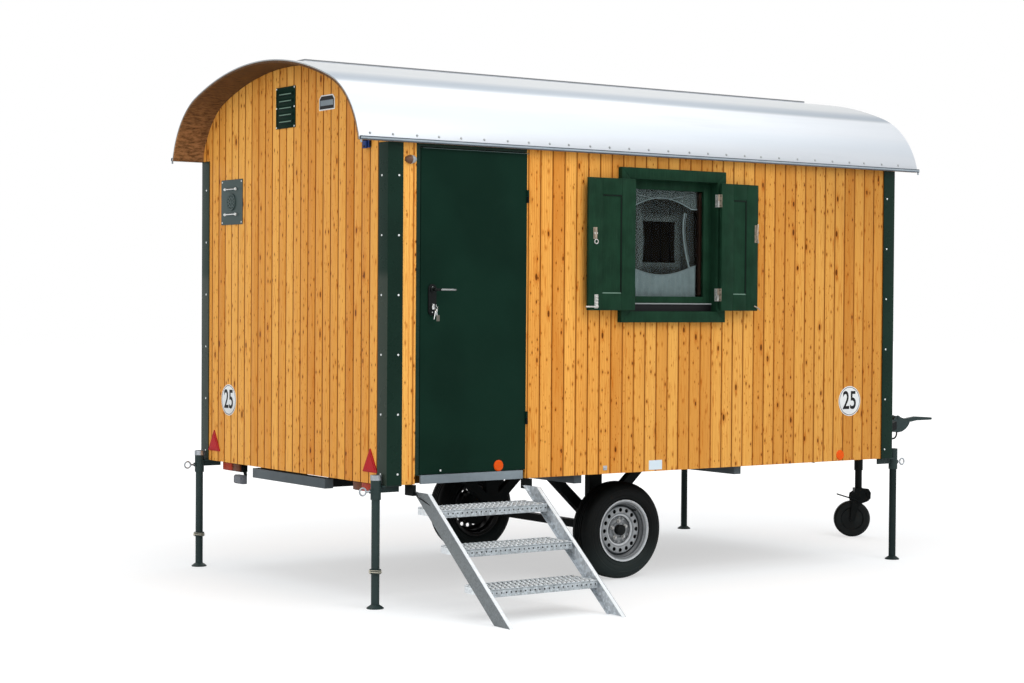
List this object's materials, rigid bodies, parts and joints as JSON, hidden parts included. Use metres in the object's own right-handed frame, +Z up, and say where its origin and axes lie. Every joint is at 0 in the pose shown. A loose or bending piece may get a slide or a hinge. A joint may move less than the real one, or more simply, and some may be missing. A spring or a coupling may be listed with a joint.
{
  "type": "site trailer",
  "caption": "Single-axle timber site trailer with a curved metal roof, a door, a shuttered window, corner legs, drawbar, jockey wheel and hook-on steps.",
  "frame": {"origin": "ground level below the centre of the overall box", "axes": "+X from the rear wall to the tow coupling, +Y from the door side to the far side, +Z up"},
  "size_m": [5.865, 3.3218, 3.216],
  "materials": {
    "wood_boards": "varnished",
    "soffit_wood": "stained",
    "galvanised": "galvanised",
    "roof_metal": "satin",
    "green_paint": "satin",
    "green_wood": "painted",
    "pane_glass": "clear",
    "black_metal": "satin",
    "leg_paint": "satin",
    "tyre_rubber": "matte",
    "wheel_silver": "satin",
    "grey_metal": "satin",
    "bright_steel": "polished",
    "black_plastic": "matte",
    "blue_plastic": "matte",
    "red_lens": "gloss",
    "orange_lens": "gloss",
    "clear_lens": "gloss"
  },
  "bodies": {
    "trailer": {"floor": "soffit_wood", "rear_wall": "wood_boards", "front_wall": "wood_boards", "far_wall": "wood_boards", "window_wall": "wood_boards", "door_post_wall": "wood_boards", "door_head": "green_paint", "roof_boards": "soffit_wood", "roof_sheet": "roof_metal", "ridge_strip": "roof_metal", "eave_bars": "galvanised", "corner_trims": "green_paint", "door_frame": "green_paint", "door_sill": "grey_metal", "door_hinges": "black_metal", "window_casing": "green_wood", "window_sash": "green_wood", "window_glass": "pane_glass", "shutter_hinges": "galvanised", "vent_grille": "green_paint", "flue_plate": "grey_metal", "power_inlet": "blue_plastic", "marker_lamp": "red_lens", "rear_reflectors": "red_lens", "wall_reflector": "orange_lens", "rear_lamps": "red_lens", "reversing_lamp": "clear_lens", "chassis_rails": "black_metal", "cross_members": "black_metal", "drawbar_beams": "black_metal", "coupling_body": "black_metal", "axle_beam": "black_metal", "axle_stands": "black_metal", "leg_sleeves": "leg_paint", "leg_clamps": "galvanised", "step_stringers": "galvanised", "step_treads": "galvanised", "step_hooks": "black_metal", "jockey_outer_tube": "black_metal"},
    "door": {"door_leaf": "green_paint", "lock_plate": "black_plastic", "door_reflector": "orange_lens"},
    "door_lever": {"door_lever": "bright_steel"},
    "left_shutter": {"left_shutter": "green_wood"},
    "right_shutter": {"right_shutter": "green_wood"},
    "near_wheel": {"near_tyre": "tyre_rubber", "near_rim": "wheel_silver"},
    "far_wheel": {"far_tyre": "tyre_rubber", "far_rim": "wheel_silver"},
    "rear_near_leg": {"rear_near_leg": "leg_paint"},
    "rear_far_leg": {"rear_far_leg": "leg_paint"},
    "front_near_leg": {"front_near_leg": "leg_paint"},
    "front_far_leg": {"front_far_leg": "leg_paint"},
    "jockey_leg": {"jockey_inner_tube": "black_metal"},
    "jockey_fork": {"jockey_fork": "black_metal"},
    "jockey_wheel": {"jockey_wheel": "black_plastic"},
    "coupling_handle": {"coupling_handle": "black_plastic"}
  },
  "joints": [
    {"name": "door_swing", "type": "hinge", "parent": "trailer", "child": "door", "pos_m": [-1.758, -0.69795, 1.69], "axis": [0, 0, 1], "range_deg": [0, 110]},
    {"name": "lever_turn", "type": "hinge", "parent": "door", "child": "door_lever", "pos_m": [-2.4285, -0.69795, 1.815], "axis": [0, 1, 0], "range_deg": [0, 40], "stiffness_Nm_per_rad": 0.8, "springref_deg": -28.65},
    {"name": "left_shutter_swing", "type": "hinge", "parent": "trailer", "child": "left_shutter", "pos_m": [-0.9825, -0.73395, 2.1], "axis": [0, 0, 1], "range_deg": [0, 182.5]},
    {"name": "right_shutter_swing", "type": "hinge", "parent": "trailer", "child": "right_shutter", "pos_m": [-0.2955, -0.73395, 2.1], "axis": [0, 0, -1], "range_deg": [0, 182.5]},
    {"name": "near_wheel_roll", "type": "hinge", "parent": "trailer", "child": "near_wheel", "pos_m": [-0.8025, -0.38595, 0.3075], "axis": [0, 1, 0], "continuous": true},
    {"name": "far_wheel_roll", "type": "hinge", "parent": "trailer", "child": "far_wheel", "pos_m": [-0.8025, 1.31405, 0.3075], "axis": [0, 1, 0], "continuous": true},
    {"name": "rear_near_leg_slide", "type": "slide", "parent": "trailer", "child": "rear_near_leg", "axis": [0, 0, 1], "range_m": [0, 0.39]},
    {"name": "rear_far_leg_slide", "type": "slide", "parent": "trailer", "child": "rear_far_leg", "axis": [0, 0, 1], "range_m": [0, 0.39]},
    {"name": "front_near_leg_slide", "type": "slide", "parent": "trailer", "child": "front_near_leg", "axis": [0, 0, 1], "range_m": [0, 0.45]},
    {"name": "front_far_leg_slide", "type": "slide", "parent": "trailer", "child": "front_far_leg", "axis": [0, 0, 1], "range_m": [0, 0.45]},
    {"name": "jockey_slide", "type": "slide", "parent": "trailer", "child": "jockey_leg", "axis": [0, 0, 1], "range_m": [0, 0.12]},
    {"name": "jockey_swivel", "type": "hinge", "parent": "jockey_leg", "child": "jockey_fork", "pos_m": [2.1635, 0.46405, 0.366], "axis": [0, 0, 1], "continuous": true},
    {"name": "jockey_roll", "type": "hinge", "parent": "jockey_fork", "child": "jockey_wheel", "pos_m": [2.12519, 0.49128, 0.135], "axis": [0.5793, 0.8151, 0], "continuous": true},
    {"name": "handle_lift", "type": "hinge", "parent": "trailer", "child": "coupling_handle", "pos_m": [2.5515, 0.46405, 0.884], "axis": [0, -1, 0], "range_deg": [0, 35], "stiffness_Nm_per_rad": 4, "springref_deg": -28.65}
  ]
}
